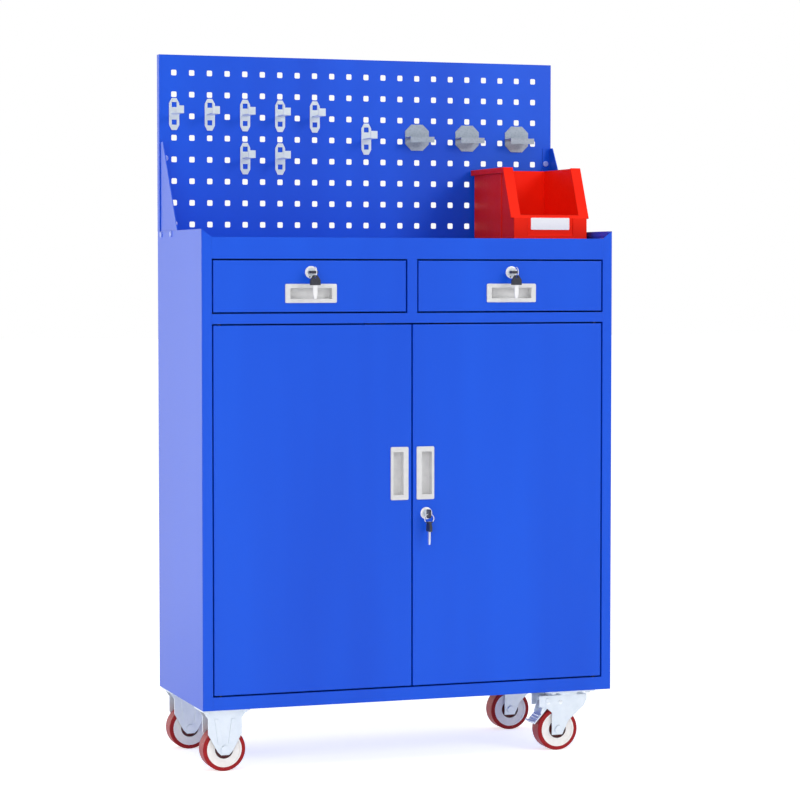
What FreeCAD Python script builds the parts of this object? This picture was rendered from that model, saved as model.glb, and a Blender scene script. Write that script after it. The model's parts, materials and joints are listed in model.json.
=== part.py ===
import FreeCAD, Part
import math
import os

# Tool cabinet on casters: folded sheet body, two drawers, two doors, a top tray and a hole board behind it.
# Millimetres, +Z up, front towards -Y, origin on the floor under the middle of the whole object.

V = FreeCAD.Vector

# Body
BODY_W = 750.0
BODY_D = 300.0
SIDE_RISE = 13.5
SHEET = 1.0
OVERRUN = 5.0
STILE_W = 17.7
STILE_RETURN = 15.0
REAR_FLANGE = 12.0
HEM_H = 9.0
BEND_R = 1.6
PANEL_GAP = 2.5

# Front, from the bottom up
BOTTOM_RAIL_H = 22.4
DOOR_OPENING_H = 631.6
MID_RAIL_H = 17.2
DRAWER_OPENING_H = 92.7
TOP_RAIL_H = 36.6
POST_W = 17.8
RAIL_RETURN = 15.0

# Inside of the body
PAN_FLANGE = 14.0
TRAY_DROP = 22.5
TRAY_LIP = 16.0
SHELF_ABOVE_LOCK = 12.0
SHELF_LIP = 24.0
SHELF_SWING_GAP = 1.2
SHELF_REAR_GAP = 1.0
SHELF_SIDE_GAP = 0.5
CLIP_W = 18.0
CLIP_H = 20.0
CLIP_T = 1.5
CLIP_FROM_END = 30.0
CATCH_W = 34.0
CATCH_D = 12.0
CATCH_H = 13.0
CATCH_FROM_MIDDLE = 60.0
CATCH_GAP = 0.4

# Hole board and its gussets
BOARD_H = 313.0
BOARD_FLANGE = 15.0
BOARD_SIDE_GAP = 2.6
HOLE = 10.0
HOLE_R = 2.2
HOLE_COLUMNS = 22
HOLE_ROWS = 8
FIRST_COLUMN = 27.1
LAST_COLUMN = 36.2
FIRST_ROW = 31.5
LAST_ROW = 12.7
GUSSET_T = 1.5
GUSSET_BASE = 115.0
GUSSET_TOP = 16.0
GUSSET_RISE = 158.0
GUSSET_TAIL = 19.0
GUSSET_FLANGE = 13.0
BOLT_R = 3.0
BOLT_HEAD_R = 5.2
BOLT_HEAD_H = 2.2
BOLT_CLEAR = 0.3
GUSSET_BOLT_DROP = 6.0
GUSSET_BOLT_REAR = 12.0
GUSSET_BOLT_PITCH = 70.0
GUSSET_BOLT_SHARES = (0.15, 0.82)

# Strap hooks and plier holders: column and row of the hole each hangs in, counted from the top left
HOOK_COLUMNS = (1, 3, 5, 7, 9, 5, 7, 12)
HOOK_ROWS = (3, 3, 3, 3, 3, 5, 5, 4)
HOLDER_COLUMNS = (15, 18, 21)
HOLDER_ROWS = (4, 4, 4)
HOOK_T = 1.6
HOOK_W = 18.6
HOOK_ABOVE = 31.5
HOOK_BELOW = 25.0
HOOK_POINT = 9.0
HOOK_TIP_W = 9.0
HOOK_WINDOW = 9.0
HOOK_ARM_W = 13.0
HOOK_ARM_L = 44.0
HOOK_ARM_UP = 12.0
HOOK_ARM_UP_FROM_HOLE = 4.0
HOOK_WINDOW_UP = 20.0
HOOK_LOW_WINDOW_DROP = 11.0
TONGUE_W = 7.0
TONGUE_UP = 8.0
TONGUE_SLACK = 0.4
HOLDER_W = 46.0
HOLDER_ABOVE = 31.5
HOLDER_BELOW = 16.0
HOLDER_CHAMFER = 12.0
HOLDER_SHELF_D = 30.0
HOLDER_SHELF_UP = 8.0
HOLDER_LIP = 10.0
HOLDER_SLOT_W = 30.0
HOLDER_SLOT_D = 15.0

# Parts bin
BIN_W = 140.0
BIN_D = 195.0
BIN_H = 151.0
BIN_WALL = 2.5
BIN_LIP_H = 60.0
BIN_FRONT_RUN = 40.0
BIN_STRIP_W = 14.0
BIN_STRIP_T = 3.0
BIN_RIM_W = 5.0
BIN_RIM_H = 10.0
BIN_BAND_W = 70.0
BIN_BAND_T = 1.2
BIN_BAND_FROM_BACK = 66.0
BIN_FRAME_W = 26.5
BIN_FRAME_LOW = 29.0
BIN_FRAME_T = 2.0
BIN_RIGHT_GAP = 16.0
BIN_REAR_GAP = 10.0
BIN_FLOOR_GAP = 0.2

# Drawers
DRAWER_T = 18.0
DRAWER_LIP = 10.0
BOX_D = 248.0
BOX_H = 56.0
BOX_SHEET = 0.8
BOX_FLOOR_GAP = 8.0
SLIDE_SPACE = 13.0
RAIL_H = 30.0
RAIL_T = 1.5
RAIL_L = 236.0
RAIL_SETBACK = 20.0
RAIL_FLANGE = 9.5
RUNNER_CLEAR = 0.3
RUNNER_REACH = 9.0
RAIL_BRACKET_L = 26.0

# Doors
DOOR_T = 20.0
DOOR_LIP = 14.0
HINGE_INSET = 12.0
HINGE_DEPTH = 5.5
HINGE_PIN_R = 3.0
HINGE_CLEAR = 0.08
HINGE_PIN_IN = 8.0
HINGE_HEAD_R = 4.2
HINGE_HEAD_H = 2.0

# Recessed pulls
PULL_L = 92.0
PULL_W = 32.5
PULL_PROUD = 2.4
PULL_CORNER_R = 2.6
CUP_L = 74.0
CUP_W = 18.0
CUP_DEPTH = 13.0
CUP_WALL = 1.6
CUP_CLEAR = 0.3
CUP_OFFSET = 2.4
DRAWER_PULL_DROP = 56.1
DOOR_PULL_FROM_EDGE = 22.4
DOOR_PULL_UP = 372.0

# Locks and keys
LOCK_R = 10.6
LOCK_PROUD = 2.6
BARREL_R = 9.4
BARREL_CLEAR = 0.2
DRAWER_BARREL_L = 20.0
PLUG_R = 6.6
PLUG_CLEAR = 0.05
CAM_L = 30.0
CAM_W = 14.0
CAM_T = 2.0
CAM_GAP = 0.3
DRAWER_LOCK_DROP = 20.1
DOOR_LOCK_FROM_EDGE = 24.0
DOOR_LOCK_UNDER_PULL = 70.0
KEY_HEAD_W = 15.0
KEY_HEAD_L = 13.0
KEY_HEAD_T = 4.6
KEY_NECK_W = 6.0
KEY_NECK_L = 5.0
KEY_NECK_T = 2.2
KEY_HEAD_R = 3.0
KEY_EYE_IN = 4.3
KEY_EYE_R = 2.0
RING_R = 8.4
RING_WIRE_R = 0.7
SPARE_EYE_IN = 3.4
QUARTER_TURN = 90.0
SPARE_HEAD_W = 18.0
SPARE_HEAD_H = 17.0
SPARE_HEAD_T = 5.0
SPARE_TOP_W = 7.4
SPARE_SHOULDER_H = 9.0
BLADE_W = 7.4
BLADE_L = 23.0
BLADE_T = 2.0
BLADE_TIP_W = 4.0

# Casters
CASTER_H = 108.0
WHEEL_R = 37.5
WHEEL_W = 30.0
TYRE_T = 7.0
TYRE_CROWN = 2.5
HUB_W = 33.0
HUB_R = 10.0
HUB_RECESS_R = 16.0
HUB_RECESS = 7.0
CORE_DISH = 1.5
CORE_RIM = 3.0
AXLE_R = 5.0
AXLE_CLEAR = 0.06
AXLE_HEAD_R = 7.5
AXLE_HEAD_H = 3.0
FORK_T = 2.6
FORK_SIDE_GAP = 0.6
RIGID_PLATE_L = 84.0
SWIVEL_PLATE_L = 94.0
PLATE_W = 64.0
PLATE_T = 3.0
PLATE_CORNER_R = 6.0
FORK_TOP_L = 78.0
FORK_NECK_L = 59.0
FORK_NECK_DROP = 14.0
FORK_WAIST_UP = 27.0
FORK_FOOT_L = 26.0
FORK_FOOT_CUT = 6.0
FORK_FOOT_DROP = 9.0
RIB_W = 7.0
RIB_T = 1.4
RIB_FROM_MIDDLE = 15.0
RIB_LEAN = 6.0
RIB_ABOVE_AXLE = 11.0
LEFT_CASTER_INSET = 43.0
RIGHT_CASTER_INSET = 73.0
PLATE_EDGE_GAP = 4.0
SWIVEL_TRAIL = 20.0
RACE_R = 24.0
RACE_H = 6.0
RACE_CLEAR = 0.3
KING_PIN_R = 6.0
KING_PIN_CLEAR = 0.06
KING_HEAD_R = 10.0
KING_HEAD_H = 4.0
SWIVEL_ARM = 36.5
SWIVEL_ARM_H = 20.0
SWIVEL_CALF_H = 24.0
SWIVEL_BACK = 54.0
SWIVEL_SHOULDER = 11.0
SWIVEL_SHIN = 12.6
SWIVEL_TOE = 7.0
BRAKE_PIN_R = 2.5
BRAKE_PIN_CLEAR = 0.08
BRAKE_PIN_HEAD_R = 4.4
BRAKE_PIN_HEAD_H = 1.4
BRAKE_ARM = 21.0
BRAKE_DROP = 9.0
BRAKE_T = 2.0
BRAKE_PLATE_L = 36.0
BRAKE_GAP = 3.4
BRAKE_SIDE_GAP = 0.5
BRAKE_SLOPE = 48.0
BRAKE_ABOVE_SHARE = 0.4
BRAKE_TOE = 7.0
PLATE_BOLT_X = 33.0
PLATE_BOLT_Y = 26.2
PLATE_BOLT_R = 3.0
PLATE_BOLT_HEAD_R = 4.6
PLATE_BOLT_HEAD_H = 2.6
PLATE_NUT_H = 4.5

# Places worked out from the sizes above
KEY_REACH = LOCK_PROUD + KEY_NECK_L + KEY_HEAD_L
FRONT_REACH = KEY_REACH - KEY_EYE_IN + 2 * RING_R + RING_WIRE_R
MID_Y = FRONT_REACH / 2
FRONT_Y = MID_Y - BODY_D / 2
BACK_Y = MID_Y + BODY_D / 2
HALF_W = BODY_W / 2
FLOOR_Z = CASTER_H
APRON_H = BOTTOM_RAIL_H + DOOR_OPENING_H + MID_RAIL_H + DRAWER_OPENING_H + TOP_RAIL_H
SIDE_H = APRON_H + SIDE_RISE
RIM_Z = FLOOR_Z + SIDE_H
APRON_Z = FLOOR_Z + APRON_H
OPENING_X = HALF_W - STILE_W
DOOR_LOW_Z = FLOOR_Z + BOTTOM_RAIL_H
DOOR_TOP_Z = DOOR_LOW_Z + DOOR_OPENING_H
DRAWER_LOW_Z = DOOR_TOP_Z + MID_RAIL_H
DRAWER_TOP_Z = DRAWER_LOW_Z + DRAWER_OPENING_H
TRAY_Z = APRON_Z - TRAY_DROP
DECK_Z = DOOR_TOP_Z + SHEET
BOARD_Y = BACK_Y - BOARD_FLANGE
DRAWER_W = OPENING_X - POST_W / 2 - PANEL_GAP - PANEL_GAP
DRAWER_X = (OPENING_X + POST_W / 2) / 2
DRAWER_LOCK_Z = DRAWER_TOP_Z - PANEL_GAP - DRAWER_LOCK_DROP
DRAWER_PULL_Z = DRAWER_TOP_Z - PANEL_GAP - DRAWER_PULL_DROP
DOOR_PULL_Z = DOOR_LOW_Z + DOOR_PULL_UP
DOOR_LOCK_Z = DOOR_PULL_Z - DOOR_LOCK_UNDER_PULL
SHELF_LOW_Z = DOOR_LOCK_Z + SHELF_ABOVE_LOCK
SHELF_Z = SHELF_LOW_Z + SHELF_LIP
HINGE_X = OPENING_X - PANEL_GAP - HINGE_INSET
HINGE_Y = FRONT_Y + HINGE_DEPTH
DOOR_SWING = HINGE_DEPTH + math.hypot(HINGE_INSET, DOOR_T - HINGE_DEPTH)
SHELF_SETBACK = DOOR_SWING + SHELF_SWING_GAP
BARREL_L = SHELF_SETBACK + SHEET
CASTER_Y = BODY_D / 2 - PLATE_W / 2 - PLATE_EDGE_GAP
RACE_Z = CASTER_H - PLATE_T - RACE_H
FORK_IN = HUB_W / 2 + FORK_SIDE_GAP
FORK_OUT = FORK_IN + FORK_T
LEFT_CASTER_X = LEFT_CASTER_INSET - HALF_W
RIGHT_CASTER_X = HALF_W - RIGHT_CASTER_INSET
PITCH_X = (BODY_W - FIRST_COLUMN - LAST_COLUMN) / (HOLE_COLUMNS - 1)
PITCH_Z = (BOARD_H - FIRST_ROW - LAST_ROW) / (HOLE_ROWS - 1)


def box(x0, x1, y0, y1, z0, z1):
    """A box between two corners."""
    return Part.makeBox(x1 - x0, y1 - y0, z1 - z0, V(x0, y0, z0))


def rod(start, axis, radius, length):
    """A round bar from a point along an axis."""
    return Part.makeCylinder(radius, length, start, axis)


def slab(points, run):
    """A flat outline pushed along a vector."""
    return Part.Face(Part.makePolygon(points + points[:1])).extrude(run)


def rounded_rectangle(half_u, half_v, radius, centre, u, v):
    """A wire: a rectangle with round corners, in the plane of the unit vectors u and v."""
    edges = []
    corner_share = 1.0 - math.sqrt(2.0) / 2
    signs = [(1, 1), (-1, 1), (-1, -1), (1, -1)]
    ends = []
    for i, (a, b) in enumerate(signs):
        corner = centre + u * (a * half_u) + v * (b * half_v)
        along_u = corner - u * (a * radius)
        along_v = corner - v * (b * radius)
        mid = corner - u * (a * radius * corner_share) - v * (b * radius * corner_share)
        first, last = (along_v, along_u) if i % 2 == 0 else (along_u, along_v)
        edges.append(Part.Arc(first, mid, last).toShape())
        ends.append((first, last))
    for i in range(len(ends)):
        edges.append(Part.makeLine(ends[i][1], ends[(i + 1) % len(ends)][0]))
    return Part.Wire(Part.__sortEdges__(edges))


def rounded_block(half_u, half_v, radius, centre, u, v, depth):
    """A block with round corners, pushed along u x v."""
    return Part.Face(rounded_rectangle(half_u, half_v, radius, centre, u, v)).extrude(u.cross(v) * depth)


def soften(shape, radius, test):
    """Rounds the edges whose middle and direction pass a test."""
    picked = []
    for edge in shape.Edges:
        first, last = edge.Vertexes[0].Point, edge.Vertexes[-1].Point
        if test((first + last) * (1 / 2), last - first):
            picked.append(edge)
    return shape.makeFillet(radius, picked)


def mirrored(shape, middle_x=0):
    """The mirror image across a plane of constant x."""
    return shape.mirror(V(middle_x, 0, 0), V(1, 0, 0))


def fused(shapes):
    """One solid from touching pieces."""
    return shapes[0].multiFuse(shapes[1:]).removeSplitter()


def front_pan(x0, x1, z0, z1, thick, lip, sheet):
    """A folded front: a skin, four edges folded back and a lip turned in behind them."""
    y0, y1 = FRONT_Y, FRONT_Y + thick
    shell = box(x0, x1, y0, y1, z0, z1)
    shell = soften(shell, BEND_R, lambda mid, way: abs(mid.y - y0) < SHEET / 2)
    shell = shell.cut(box(x0 + sheet, x1 - sheet, y0 + sheet, y1 - sheet, z0 + sheet, z1 - sheet))
    return shell.cut(box(x0 + lip, x1 - lip, y1 - sheet - OVERRUN, y1 + OVERRUN, z0 + lip, z1 - lip))


def channel(web, flanges):
    """A folded rail: a front web with flanges behind it."""
    return fused([box(*web)] + [box(*flange) for flange in flanges])


def side_panel():
    """Left side: skin, front stile with its return, rear flange and a hem along the rim."""
    x0 = -HALF_W
    shell = box(x0, x0 + STILE_W, FRONT_Y, BACK_Y, FLOOR_Z, RIM_Z)
    shell = soften(shell, BEND_R, lambda mid, way: abs(mid.x - x0) < SHEET / 2 and abs(way.z) > SIDE_H / 2)
    inner = x0 + SHEET
    shell = shell.cut(box(inner, x0 + STILE_W - SHEET, FRONT_Y + SHEET, BACK_Y - SHEET,
                          FLOOR_Z - OVERRUN, RIM_Z + OVERRUN))
    shell = shell.cut(box(x0 + REAR_FLANGE, x0 + STILE_W + OVERRUN, FRONT_Y + STILE_RETURN, BACK_Y + OVERRUN,
                          FLOOR_Z - OVERRUN, RIM_Z + OVERRUN))
    shell = shell.cut(box(inner, x0 + STILE_W + OVERRUN, FRONT_Y + STILE_RETURN, BACK_Y - SHEET,
                          FLOOR_Z - OVERRUN, RIM_Z + OVERRUN))
    hem = box(inner, inner + SHEET, FRONT_Y + STILE_RETURN, BACK_Y - SHEET, RIM_Z - HEM_H, RIM_Z)
    shell = fused([shell, hem])
    slope = slab([V(x0, FRONT_Y - OVERRUN, RIM_Z), V(x0 + STILE_W, FRONT_Y - OVERRUN, APRON_Z),
                  V(x0 + STILE_W + OVERRUN, FRONT_Y - OVERRUN, APRON_Z),
                  V(x0 + STILE_W + OVERRUN, FRONT_Y - OVERRUN, RIM_Z + OVERRUN),
                  V(x0, FRONT_Y - OVERRUN, RIM_Z + OVERRUN)], V(0, STILE_RETURN + OVERRUN, 0))
    shell = shell.cut(slope)
    # The rear flange stops under the rim, where the board stands
    shell = shell.cut(box(inner, x0 + STILE_W, BOARD_Y, BACK_Y - SHEET, RIM_Z - HEM_H, RIM_Z + OVERRUN))
    for y in gusset_bolt_ys():
        shell = shell.cut(rod(V(x0 - OVERRUN, y, RIM_Z - GUSSET_BOLT_DROP), V(1, 0, 0),
                              BOLT_R + BOLT_CLEAR, STILE_W + OVERRUN))
    return shell


def gusset_bolt_ys():
    """Where the two bolts of a gusset pass through the side."""
    rear = BOARD_Y - GUSSET_BOLT_REAR
    return [rear, rear - GUSSET_BOLT_PITCH]


def back_panel():
    """Flat rear sheet in front of the side panels' rear flanges."""
    half = HALF_W - SHEET
    return box(-half, half, BACK_Y - SHEET - SHEET, BACK_Y - SHEET, FLOOR_Z + SHEET, TRAY_Z - SHEET)


def base_pan():
    """Bottom sheet with the bottom rail folded up in front and low flanges at the other edges."""
    half = HALF_W - SHEET
    rear = BACK_Y - SHEET - SHEET
    top = FLOOR_Z + BOTTOM_RAIL_H
    floor = box(-half, half, FRONT_Y + SHEET, rear, FLOOR_Z, FLOOR_Z + SHEET)
    stile = box(-HALF_W, -OPENING_X, FRONT_Y - OVERRUN, FRONT_Y + STILE_RETURN, FLOOR_Z - OVERRUN, top)
    floor = floor.cut(stile).cut(mirrored(stile))
    rail = box(-OPENING_X, OPENING_X, FRONT_Y, FRONT_Y + SHEET, FLOOR_Z, top)
    cap = box(-OPENING_X, OPENING_X, FRONT_Y, FRONT_Y + RAIL_RETURN, top - SHEET, top)
    heel = box(-half, half, rear - SHEET, rear, FLOOR_Z, FLOOR_Z + PAN_FLANGE)
    side = box(-half, -half + SHEET, FRONT_Y + STILE_RETURN, rear, FLOOR_Z, FLOOR_Z + PAN_FLANGE)
    pan = fused([floor, rail, cap, heel, side, mirrored(side)])
    for x, y in caster_bolt_places():
        pan = pan.cut(rod(V(x, y, FLOOR_Z - OVERRUN), V(0, 0, 1), PLATE_BOLT_R + BOLT_CLEAR, PAN_FLANGE))
    for x in (-HINGE_X, HINGE_X):
        pan = pan.cut(rod(V(x, HINGE_Y, top - SHEET - OVERRUN), V(0, 0, 1), HINGE_PIN_R, SHEET + 2 * OVERRUN))
    return pan


def front_frame():
    """Welded front: top rail, middle rail and the post between the drawers."""
    back = FRONT_Y + RAIL_RETURN
    skin = FRONT_Y + SHEET
    top = channel((-OPENING_X, OPENING_X, FRONT_Y, skin, DRAWER_TOP_Z, APRON_Z),
                  [(-OPENING_X, OPENING_X, FRONT_Y, back, DRAWER_TOP_Z, DRAWER_TOP_Z + SHEET),
                   (-OPENING_X, OPENING_X, FRONT_Y, back, APRON_Z - SHEET, APRON_Z)])
    middle = channel((-OPENING_X, OPENING_X, FRONT_Y, skin, DOOR_TOP_Z, DRAWER_LOW_Z),
                     [(-OPENING_X, OPENING_X, FRONT_Y, back, DOOR_TOP_Z, DOOR_TOP_Z + SHEET),
                      (-OPENING_X, OPENING_X, FRONT_Y, back, DRAWER_LOW_Z - SHEET, DRAWER_LOW_Z)])
    half = POST_W / 2
    post = channel((-half, half, FRONT_Y, skin, DRAWER_LOW_Z, DRAWER_TOP_Z),
                   [(-half, -half + SHEET, FRONT_Y, back, DRAWER_LOW_Z, DRAWER_TOP_Z),
                    (half - SHEET, half, FRONT_Y, back, DRAWER_LOW_Z, DRAWER_TOP_Z)])
    frame = fused([top, middle, post])
    for x in (-HINGE_X, HINGE_X):
        frame = frame.cut(rod(V(x, HINGE_Y, DOOR_TOP_Z - OVERRUN), V(0, 0, 1), HINGE_PIN_R,
                              SHEET + 2 * OVERRUN))
    return frame


def drawer_deck():
    """Sheet under the drawers, resting on the middle rail, with flanges turned down at sides and back."""
    half = HALF_W - SHEET
    rear = BACK_Y - SHEET - SHEET
    sheet = box(-half, half, FRONT_Y + SHEET, rear, DECK_Z, DECK_Z + SHEET)
    stile = box(-HALF_W, -OPENING_X, FRONT_Y - OVERRUN, FRONT_Y + STILE_RETURN,
                DECK_Z - OVERRUN, DECK_Z + OVERRUN)
    sheet = sheet.cut(stile).cut(mirrored(stile))
    low = DECK_Z - PAN_FLANGE
    heel = box(-half, half, rear - SHEET, rear, low, DECK_Z + SHEET)
    side = box(-half, -half + SHEET, FRONT_Y + STILE_RETURN + SHEET, rear, low, DECK_Z + SHEET)
    deck = fused([sheet, heel, side, mirrored(side)])
    notch_r = HINGE_HEAD_R + BOLT_CLEAR
    for x in (-HINGE_X, HINGE_X):
        deck = deck.cut(rod(V(x, HINGE_Y, DECK_Z - OVERRUN), V(0, 0, 1), notch_r, 2 * OVERRUN))
        deck = deck.cut(box(x - notch_r, x + notch_r, FRONT_Y - OVERRUN, HINGE_Y,
                            DECK_Z - OVERRUN, DECK_Z + OVERRUN))
    return deck


def partition():
    """Upright sheet between the drawers, with a foot on the deck and a head under the tray."""
    y0, y1 = FRONT_Y + RAIL_RETURN, BACK_Y - SHEET - SHEET
    low, high = DECK_Z + SHEET, TRAY_Z - SHEET
    half = SHEET / 2
    web = box(-half, half, y0, y1, low, high)
    foot = box(-half, POST_W / 2, y0, y1, low, low + SHEET)
    head = box(-half, POST_W / 2, y0, y1, high - SHEET, high)
    return fused([web, foot, head])


def tray():
    """Shallow tray between the sides, the top rail and the board."""
    half = HALF_W - SHEET
    y0, y1 = FRONT_Y + SHEET, BOARD_Y
    low = TRAY_Z - SHEET
    floor = box(-half, half, y0, BACK_Y - SHEET, low, TRAY_Z)
    stile = box(-HALF_W, -OPENING_X, FRONT_Y - OVERRUN, FRONT_Y + STILE_RETURN, low - OVERRUN, RIM_Z)
    front = box(-OPENING_X, OPENING_X, y0, y0 + SHEET, low, TRAY_Z + TRAY_LIP)
    side = box(-half, -half + SHEET, FRONT_Y + STILE_RETURN, y1, low, TRAY_Z + TRAY_LIP)
    rear = box(-half, half, y1 - SHEET, y1, low, TRAY_Z + TRAY_LIP)
    return fused([floor.cut(stile).cut(mirrored(stile)), front, side, mirrored(side), rear])


def shelf():
    """Shelf with edges turned down all round; the right door's cam catches behind its front edge."""
    half = HALF_W - SHEET - SHELF_SIDE_GAP
    y0, y1 = FRONT_Y + SHELF_SETBACK, BACK_Y - SHEET - SHEET - SHELF_REAR_GAP
    shell = box(-half, half, y0, y1, SHELF_LOW_Z, SHELF_Z)
    shell = soften(shell, BEND_R, lambda mid, way: abs(mid.z - SHELF_Z) < SHEET / 2)
    return shell.cut(box(-half + SHEET, half - SHEET, y0 + SHEET, y1 - SHEET,
                         SHELF_LOW_Z - OVERRUN, SHELF_Z - SHEET))


def shelf_clips():
    """Four angles on the side panels that carry the shelf's edges."""
    x0 = -HALF_W + SHEET
    clips = []
    for y in (FRONT_Y + SHELF_SETBACK + CLIP_FROM_END, BACK_Y - CLIP_FROM_END - CLIP_W):
        upright = box(x0, x0 + CLIP_T, y, y + CLIP_W, SHELF_LOW_Z - CLIP_H, SHELF_LOW_Z)
        ledge = box(x0, x0 + CLIP_H, y, y + CLIP_W, SHELF_LOW_Z - CLIP_T, SHELF_LOW_Z)
        clip = fused([upright, ledge])
        clips += [clip, mirrored(clip)]
    return Part.makeCompound(clips)


def door_catches():
    """Two magnetic catches under the deck, behind the upper inner corners of the doors."""
    y0 = FRONT_Y + DOOR_T + CATCH_GAP
    catches = []
    for x in (-CATCH_FROM_MIDDLE, CATCH_FROM_MIDDLE):
        catches.append(box(x - CATCH_W / 2, x + CATCH_W / 2, y0, y0 + CATCH_D, DECK_Z - CATCH_H, DECK_Z))
    return Part.makeCompound(catches)


def hole_place(column, row):
    """Middle of a board hole, counted from the top left."""
    x = -HALF_W + FIRST_COLUMN + (column - 1) * PITCH_X
    z = RIM_Z + BOARD_H - FIRST_ROW - (row - 1) * PITCH_Z
    return V(x, BOARD_Y, z)


def hole_board():
    """Board with square holes, edges folded back and a narrower tail behind the tray."""
    top = RIM_Z + BOARD_H
    tail = HALF_W - BOARD_SIDE_GAP
    low = TRAY_Z
    outline = [V(-HALF_W, BOARD_Y, top), V(HALF_W, BOARD_Y, top), V(HALF_W, BOARD_Y, RIM_Z),
               V(tail, BOARD_Y, RIM_Z), V(tail, BOARD_Y, low), V(-tail, BOARD_Y, low),
               V(-tail, BOARD_Y, RIM_Z), V(-HALF_W, BOARD_Y, RIM_Z)]
    wires = [Part.makePolygon(outline + outline[:1])]
    for row in range(1, HOLE_ROWS + 1):
        for column in range(1, HOLE_COLUMNS + 1):
            place = hole_place(column, row)
            wires.append(rounded_rectangle(HOLE / 2, HOLE / 2, HOLE_R, place, V(1, 0, 0), V(0, 0, 1)))
    sheet = Part.Face(wires, "Part::FaceMakerBullseye").extrude(V(0, SHEET, 0))
    for side in (-1, 1):
        for z in gusset_flange_bolt_zs():
            sheet = sheet.cut(rod(V(side * gusset_flange_x(), BOARD_Y - OVERRUN, z), V(0, 1, 0),
                                  BOLT_R + BOLT_CLEAR, 2 * OVERRUN + SHEET))
    flange = box(-HALF_W, -HALF_W + SHEET, BOARD_Y, BACK_Y, RIM_Z, top)
    head = box(-HALF_W, HALF_W, BOARD_Y, BACK_Y, top - SHEET, top)
    return fused([sheet, flange, mirrored(flange), head])


def gusset_flange_x():
    """Distance from the middle to the bolts of a gusset's flange."""
    return HALF_W - BOARD_SIDE_GAP - GUSSET_T - GUSSET_FLANGE / 2


def gusset_flange_bolt_zs():
    """Heights of the two bolts that hold a gusset's flange to the board."""
    return [RIM_Z + GUSSET_RISE * share for share in GUSSET_BOLT_SHARES]


def gusset():
    """Left gusset: a tapered web inside the side panel and a flange against the board."""
    x0 = -HALF_W + SHEET + SHEET
    low = RIM_Z - GUSSET_TAIL
    high = RIM_Z + GUSSET_RISE
    outline = [V(x0, BOARD_Y, low), V(x0, BOARD_Y - GUSSET_BASE, low), V(x0, BOARD_Y - GUSSET_BASE, RIM_Z),
               V(x0, BOARD_Y - GUSSET_TOP, high), V(x0, BOARD_Y, high)]
    web = slab(outline, V(GUSSET_T, 0, 0))
    flange = box(x0, x0 + GUSSET_T + GUSSET_FLANGE, BOARD_Y - GUSSET_T, BOARD_Y, RIM_Z, high)
    plate = fused([web, flange])
    for y in gusset_bolt_ys():
        plate = plate.cut(rod(V(x0 - OVERRUN, y, RIM_Z - GUSSET_BOLT_DROP), V(1, 0, 0),
                              BOLT_R + BOLT_CLEAR, GUSSET_T + 2 * OVERRUN))
    for z in gusset_flange_bolt_zs():
        plate = plate.cut(rod(V(-gusset_flange_x(), BOARD_Y - GUSSET_T - OVERRUN, z), V(0, 1, 0),
                              BOLT_R + BOLT_CLEAR, GUSSET_T + 2 * OVERRUN))
    return plate


def bolt(seat, way, grip):
    """A bolt whose head stands on its seat, with its nut at the end of the grip."""
    head = rod(seat, way * -1, BOLT_HEAD_R, BOLT_HEAD_H)
    head = soften(head, BOLT_HEAD_H / 2, lambda mid, edge: (mid - seat).dot(way) < -BOLT_HEAD_H / 2)
    shank = rod(seat, way, BOLT_R, grip + BOLT_HEAD_H)
    nut = rod(seat + way * grip, way, BOLT_HEAD_R, BOLT_HEAD_H)
    return fused([head, shank, nut])


def gusset_bolts():
    """Bolts through the side panels and the board."""
    bolts = []
    for y in gusset_bolt_ys():
        one = bolt(V(-HALF_W, y, RIM_Z - GUSSET_BOLT_DROP), V(1, 0, 0), 2 * SHEET + GUSSET_T)
        bolts += [one, mirrored(one)]
    for z in gusset_flange_bolt_zs():
        one = bolt(V(-gusset_flange_x(), BOARD_Y - GUSSET_T, z), V(0, 1, 0), GUSSET_T + SHEET)
        bolts += [one, mirrored(one)]
    return bolts


def hook_tongue(place):
    """The bent tab behind a hook that reaches through a hole and up behind the board."""
    half = TONGUE_W / 2
    low = place.z - HOLE / 2 + TONGUE_SLACK
    through = box(place.x - half, place.x + half, BOARD_Y - HOOK_T, BOARD_Y + SHEET + TONGUE_SLACK + HOOK_T,
                  low, low + HOOK_T)
    y0 = BOARD_Y + SHEET + TONGUE_SLACK
    up = box(place.x - half, place.x + half, y0, y0 + HOOK_T, low, low + TONGUE_UP)
    return fused([through, up])


def strap_hook(column, row):
    """Flat strap in front of the board with two windows and a forward arm turned up at its end."""
    place = hole_place(column, row)
    y0, y1 = BOARD_Y - HOOK_T, BOARD_Y
    top, low = place.z + HOOK_ABOVE, place.z - HOOK_BELOW
    half, tip = HOOK_W / 2, HOOK_TIP_W / 2
    ends = [(-half, top - HOOK_POINT), (-tip, top), (tip, top), (half, top - HOOK_POINT),
            (half, low + HOOK_POINT), (tip, low), (-tip, low), (-half, low + HOOK_POINT)]
    strap = slab([V(place.x + x, y0, z) for x, z in ends], V(0, HOOK_T, 0))
    window = HOOK_WINDOW / 2
    for z in (place.z + HOOK_WINDOW_UP, place.z - HOOK_LOW_WINDOW_DROP):
        strap = strap.cut(box(place.x - window, place.x + window, y0 - OVERRUN, y1 + OVERRUN,
                              z - window, z + window))
    arm = HOOK_ARM_W / 2
    z = place.z + HOOK_ARM_UP_FROM_HOLE
    reach = y0 - HOOK_ARM_L
    prong = box(place.x - arm, place.x + arm, reach, y0, z - HOOK_T, z)
    tip_up = box(place.x - arm, place.x + arm, reach, reach + HOOK_T, z - HOOK_T, z + HOOK_ARM_UP)
    return fused([strap, prong, tip_up, hook_tongue(place)])


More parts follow.
